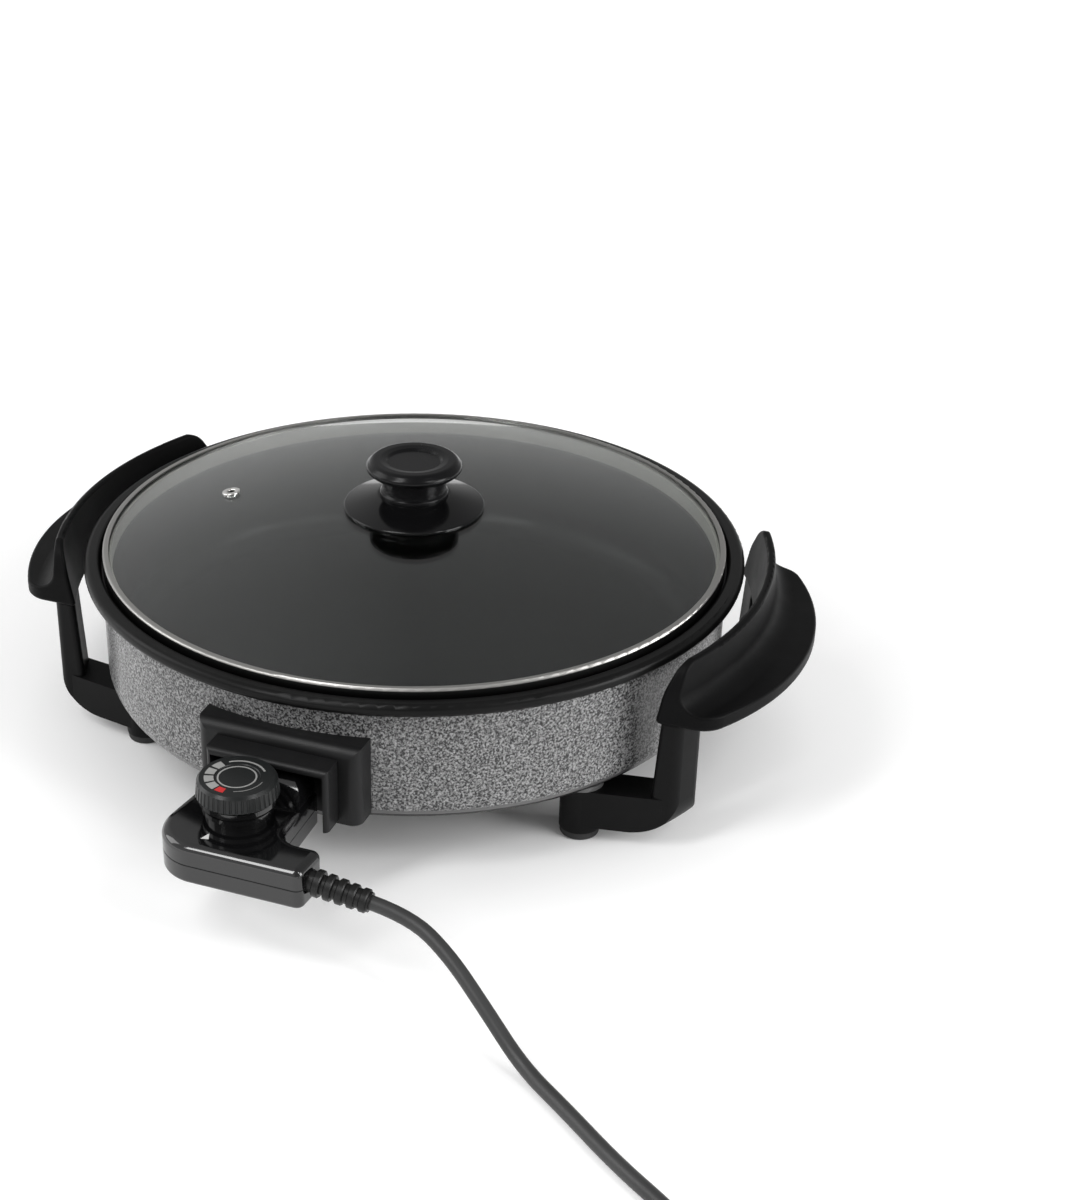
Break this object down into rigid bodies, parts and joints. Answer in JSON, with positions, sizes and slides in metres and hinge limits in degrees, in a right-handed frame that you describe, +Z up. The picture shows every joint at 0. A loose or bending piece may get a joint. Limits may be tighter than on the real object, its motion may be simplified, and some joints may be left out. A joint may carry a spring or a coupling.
{
  "type": "round electric frying pan",
  "caption": "Round electric frying pan on moulded side handles with feet, a domed glass lid with a knob, and a plug-in thermostat control with a dial and mains cord.",
  "frame": {"origin": "on the table, under the pan's axis", "axes": "+Z up, +X towards the right handle, -Y towards the socket and its control"},
  "size_m": [0.6025, 0.7263, 0.172],
  "materials": {
    "pan_casting": "grey hammered paint outside, black non-stick lip and inside",
    "element_sheath": "satin",
    "handle_bakelite": "satin black",
    "foot_rubber": "matt black",
    "screw_steel": "zinc",
    "contact_metal": "nickel plated",
    "lid_glass": "clear, slightly smoky",
    "band_steel": "polished",
    "knob_gloss": "gloss black",
    "control_gloss": "gloss black",
    "block_bakelite": "matt dark brown",
    "cord_rubber": "satin black",
    "tie_plastic": "matt black"
  },
  "bodies": {
    "pan": {"pan_shell": "pan_casting", "heating_element": "element_sheath", "handle_right": "handle_bakelite", "handle_left": "handle_bakelite", "foot_pad_1": "foot_rubber", "foot_pad_2": "foot_rubber", "foot_pad_3": "foot_rubber", "foot_pad_4": "foot_rubber", "handle_screws": "screw_steel", "socket_shroud": "handle_bakelite", "shroud_screws": "screw_steel", "terminal_pin_right": "contact_metal", "terminal_pin_left": "contact_metal", "earth_blade": "contact_metal"},
    "lid": {"lid_glass": "lid_glass", "lid_rim": "band_steel", "steam_vent": "band_steel", "knob_skirt": "knob_gloss", "lid_knob": "handle_bakelite", "knob_washer": "foot_rubber", "knob_screw": "screw_steel"},
    "control": {"control_upper": "control_gloss", "control_lower": "control_gloss", "control_screws": "screw_steel", "contact_block": "block_bakelite", "contact_sleeve_right": "contact_metal", "contact_sleeve_left": "contact_metal", "sensor_stem": "element_sheath", "thermostat_body": "block_bakelite", "strain_relief": "cord_rubber", "cord": "cord_rubber", "cord_coil": "cord_rubber", "coil_tie": "tie_plastic", "plug_body": "cord_rubber", "plug_pins": "contact_metal", "plug_earth": "contact_metal"},
    "dial": {"dial_knob": "handle_bakelite", "dial_spindle": "block_bakelite"}
  },
  "joints": [
    {"name": "lid_lift", "type": "slide", "parent": "pan", "child": "lid", "axis": [0, 0, 1], "range_m": [0, 0.2]},
    {"name": "control_pull", "type": "slide", "parent": "pan", "child": "control", "axis": [0, -1, 0], "range_m": [0, 0.09]},
    {"name": "dial_turn", "type": "hinge", "parent": "control", "child": "dial", "pos_m": [-0.0039, -0.24, 0.084], "axis": [0, 0, 1], "range_deg": [0, 270]}
  ]
}
